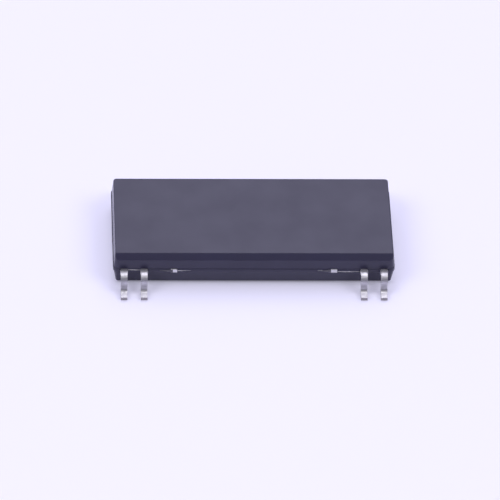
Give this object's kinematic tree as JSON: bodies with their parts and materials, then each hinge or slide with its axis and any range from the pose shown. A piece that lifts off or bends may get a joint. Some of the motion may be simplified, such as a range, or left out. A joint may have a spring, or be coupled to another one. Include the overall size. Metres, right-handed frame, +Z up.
{
  "type": "soic chip",
  "caption": "Small-outline surface-mount integrated circuit: a wide black moulded body with a bevelled long edge and gull-wing leads only at its corners.",
  "frame": {"origin": "middle of the body in plan, on the plane that the feet stand on", "axes": "+X along the body from lead 1 towards lead 14, +Y from the bevelled side with leads 1, 2, 13 and 14 towards the side with leads 15, 16, 27 and 28, +Z up from the board"},
  "size_m": [0.0178, 0.0104, 0.0024],
  "materials": {
    "mould_compound": "black epoxy moulding compound, fine spark-eroded grain",
    "tinned_lead": "satin tin plate over nickel-iron",
    "bare_frame": "stamped nickel-iron alloy",
    "chip_glue": "silver-filled epoxy",
    "silicon": "polished silicon",
    "gold_wire": "drawn gold"
  },
  "bodies": {
    "root": {"mould_body": "mould_compound", "lead_1": "tinned_lead", "lead_2": "tinned_lead", "lead_13": "tinned_lead", "lead_14": "tinned_lead", "lead_15": "tinned_lead", "lead_16": "tinned_lead", "lead_27": "tinned_lead", "lead_28": "tinned_lead", "input_plate_front": "bare_frame", "input_plate_rear": "bare_frame", "output_plate_front": "bare_frame", "output_plate_rear": "bare_frame", "input_glue": "chip_glue", "output_glue": "chip_glue", "input_chip": "silicon", "output_chip": "silicon", "wire_1": "gold_wire", "wire_2": "gold_wire", "wire_13": "gold_wire", "wire_14": "gold_wire", "wire_15": "gold_wire", "wire_16": "gold_wire", "wire_27": "gold_wire", "wire_28": "gold_wire", "input_wire_front": "gold_wire", "input_wire_rear": "gold_wire", "output_wire_front": "gold_wire", "output_wire_rear": "gold_wire"}
  },
  "joints": []
}
